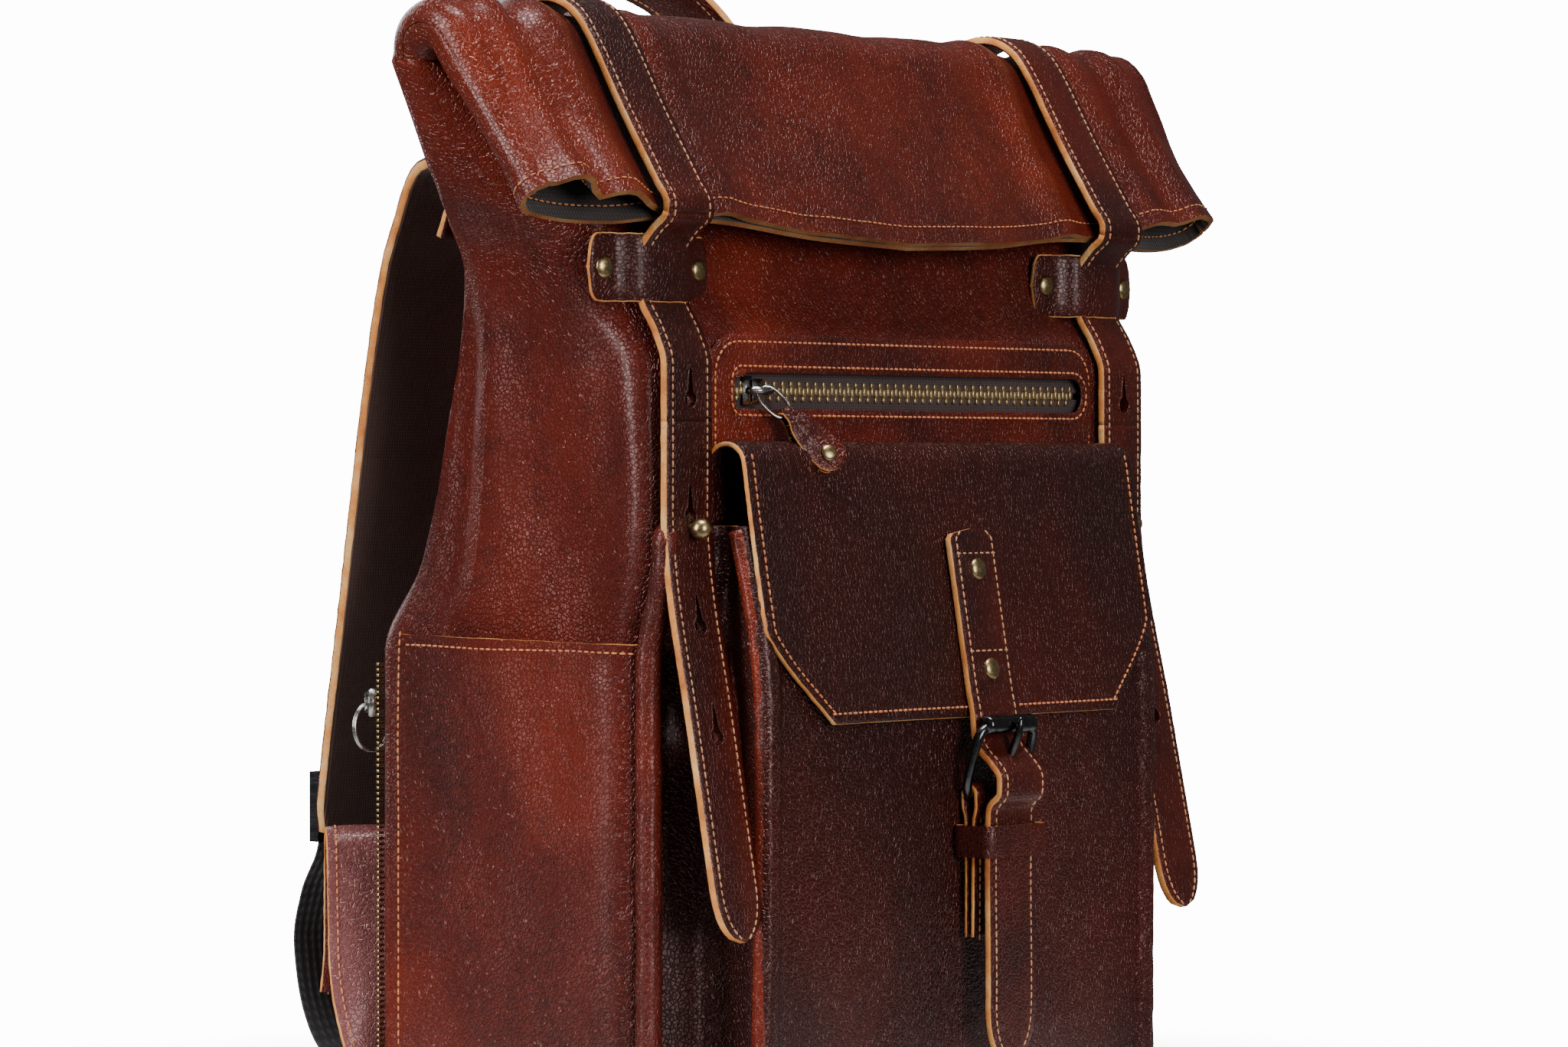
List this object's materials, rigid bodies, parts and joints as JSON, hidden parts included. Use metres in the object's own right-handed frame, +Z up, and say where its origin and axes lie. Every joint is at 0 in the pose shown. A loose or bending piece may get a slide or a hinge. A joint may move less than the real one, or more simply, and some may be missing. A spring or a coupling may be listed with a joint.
{
  "type": "backpack",
  "caption": "Leather roll-top backpack with long strap closures, a zip pocket, a buckled bellows pocket, side pockets, padded shoulder straps and a grab handle.",
  "frame": {"origin": "centre of the underside of the base", "axes": "+Z up towards the roll-top, the front with the buckled pocket faces -Y, +X to the right seen from the front"},
  "size_m": [0.45, 0.2958, 0.5027],
  "materials": {
    "leather_side": "waxed mahogany leather with a pebbled grain and bright pull-up",
    "leather_front": "waxed dark brown leather, purple-brown in the shade",
    "leather_mouth": "waxed mahogany leather, creased",
    "leather_flap": "waxed red-brown leather",
    "leather_strap": "waxed dark red-brown strap leather",
    "leather_edge": "raw tan cut edge",
    "strap_lining": "dark brown lining cloth",
    "lining_fabric": "dark brown cotton",
    "zip_tape": "woven tape",
    "zip_brass": "antique brass teeth",
    "slider_metal": "nickel",
    "antique_brass": "antique brass",
    "buckle_metal": "dark gunmetal plating",
    "webbing": "black woven webbing",
    "adjuster_metal": "black plated",
    "thread_light": "cream sewing thread",
    "thread_orange": "orange sewing thread",
    "foam": "closed-cell foam",
    "stiffener": "bag board"
  },
  "bodies": {
    "bag": {"back_foam": "foam", "back_panel": "leather_side", "back_yoke": "leather_side", "back_zip_teeth": "zip_brass", "ball_studs": "antique_brass", "base_board": "stiffener", "base_panel": "leather_side", "flap_fold": "leather_flap", "flap_return": "leather_flap", "front_panel": "leather_front", "handle_ends": "leather_strap", "keeper_rivets": "antique_brass", "left_keeper": "leather_strap", "left_side_panel": "leather_side", "left_side_pocket": "leather_side", "lower_loops": "leather_side", "main_lining": "lining_fabric", "pocket_front": "leather_front", "pocket_gusset": "leather_front", "right_keeper": "leather_strap", "right_side_panel": "leather_side", "right_side_pocket": "leather_side", "roll_fold": "leather_mouth", "snap_stud": "antique_brass", "strap_backs": "leather_strap", "strap_bends": "leather_strap", "webbing_straps": "webbing", "zip_facing": "leather_front", "zip_pocket_lining": "lining_fabric", "zip_tapes": "zip_tape", "zip_teeth": "zip_brass"},
    "mouth": {"mouth_outer_wall": "leather_mouth", "mouth_inner_wall": "leather_mouth", "mouth_side_seams": "leather_mouth", "strap_fronts": "leather_strap"},
    "left_strap": {"left_strap_leg": "leather_strap"},
    "right_strap": {"right_strap_leg": "leather_strap"},
    "left_tail": {"left_strap_tail": "leather_strap"},
    "right_tail": {"right_strap_tail": "leather_strap"},
    "flap": {"pocket_flap": "leather_flap", "flap_tab": "leather_strap", "flap_rivets": "antique_brass"},
    "closure": {"closure_strap": "leather_strap", "buckle_frame": "buckle_metal", "buckle_chape": "leather_strap", "snap_cap": "antique_brass"},
    "roller": {"buckle_roller": "buckle_metal"},
    "prong": {"buckle_prong": "buckle_metal"},
    "loop": {"strap_loop": "leather_strap"},
    "zip_slider": {"zip_slider": "slider_metal"},
    "zip_ring": {"zip_ring": "slider_metal"},
    "zip_tab": {"zip_tab": "leather_strap"},
    "handle": {"grab_handle": "leather_strap"},
    "left_shoulder": {"left_shoulder_strap": "strap_lining", "left_adjuster": "adjuster_metal"},
    "right_shoulder": {"right_shoulder_strap": "strap_lining", "right_adjuster": "adjuster_metal"},
    "back_slider": {"back_zip_slider": "slider_metal"},
    "back_ring": {"back_zip_ring": "slider_metal"}
  },
  "joints": [
    {"name": "mouth_open", "type": "hinge", "parent": "bag", "child": "mouth", "pos_m": [0, -0.022, 0.441], "axis": [-1, 0, 0], "range_deg": [0, 138], "deforming": ["roll_fold", "strap_bends"]},
    {"name": "left_strap_fling", "type": "hinge", "parent": "mouth", "child": "left_strap", "pos_m": [-0.143, -0.0885, 0.384], "axis": [-1, 0, 0], "range_deg": [0, 172.5], "deforming": ["left_strap_leg"]},
    {"name": "right_strap_fling", "type": "hinge", "parent": "mouth", "child": "right_strap", "pos_m": [0.143, -0.0885, 0.384], "axis": [-1, 0, 0], "range_deg": [0, 172.5], "deforming": ["right_strap_leg"]},
    {"name": "left_tail_swing", "type": "hinge", "parent": "left_strap", "child": "left_tail", "pos_m": [-0.143, -0.0923, 0.245], "axis": [-1, 0, 0], "range_deg": [0, 50]},
    {"name": "right_tail_swing", "type": "hinge", "parent": "right_strap", "child": "right_tail", "pos_m": [0.143, -0.0923, 0.245], "axis": [-1, 0, 0], "range_deg": [0, 50]},
    {"name": "flap_lift", "type": "hinge", "parent": "bag", "child": "flap", "pos_m": [0, -0.0953, 0.281], "axis": [-1, 0, 0], "range_deg": [0, 120], "deforming": ["flap_fold", "zip_tab"]},
    {"name": "closure_swing", "type": "hinge", "parent": "flap", "child": "closure", "pos_m": [0.006, -0.129, 0.1789], "axis": [-1, 0, 0], "range_deg": [0, 60]},
    {"name": "roller_turn", "type": "hinge", "parent": "closure", "child": "roller", "pos_m": [0.006, -0.1336, 0.176], "axis": [1, 0, 0], "continuous": true},
    {"name": "prong_tilt", "type": "hinge", "parent": "closure", "child": "prong", "pos_m": [0.006, -0.1245, 0.146], "axis": [1, 0, 0], "range_deg": [0, 10]},
    {"name": "loop_slide", "type": "slide", "parent": "closure", "child": "loop", "axis": [0, 0, 1], "range_m": [-0.014, 0.005]},
    {"name": "zip_pull", "type": "slide", "parent": "bag", "child": "zip_slider", "axis": [1, 0, 0], "range_m": [0, 0.2]},
    {"name": "zip_ring_swing", "type": "hinge", "parent": "zip_slider", "child": "zip_ring", "pos_m": [-0.097, -0.0876, 0.312], "axis": [-1, 0, 0], "range_deg": [0, 60]},
    {"name": "zip_tab_swing", "type": "hinge", "parent": "zip_ring", "child": "zip_tab", "pos_m": [-0.097, -0.09499, 0.30254], "axis": [-1, 0, 0], "range_deg": [0, 60]},
    {"name": "handle_swing", "type": "hinge", "parent": "bag", "child": "handle", "pos_m": [0, 0.034, 0.408], "axis": [1, 0, 0], "range_deg": [-50, 20], "deforming": ["handle_ends"]},
    {"name": "left_shoulder_swing", "type": "hinge", "parent": "bag", "child": "left_shoulder", "pos_m": [-0.095, 0.036, 0.384], "axis": [1, 0, 0], "range_deg": [0, 12], "deforming": ["webbing_straps"]},
    {"name": "right_shoulder_swing", "type": "hinge", "parent": "bag", "child": "right_shoulder", "pos_m": [0.095, 0.036, 0.384], "axis": [1, 0, 0], "range_deg": [0, 12]},
    {"name": "back_zip_pull", "type": "slide", "parent": "bag", "child": "back_slider", "axis": [0, 0, 1], "range_m": [-0.08, 0]},
    {"name": "back_ring_swing", "type": "hinge", "parent": "back_slider", "child": "back_ring", "pos_m": [-0.147, 0.0814, 0.184], "axis": [1, 0, 0], "range_deg": [0, 80]}
  ],
  "couplings": [
    {"joint": "left_strap_fling", "follows": "mouth_open", "ratio": 1.2464},
    {"joint": "right_strap_fling", "follows": "mouth_open", "ratio": 1.2464}
  ]
}
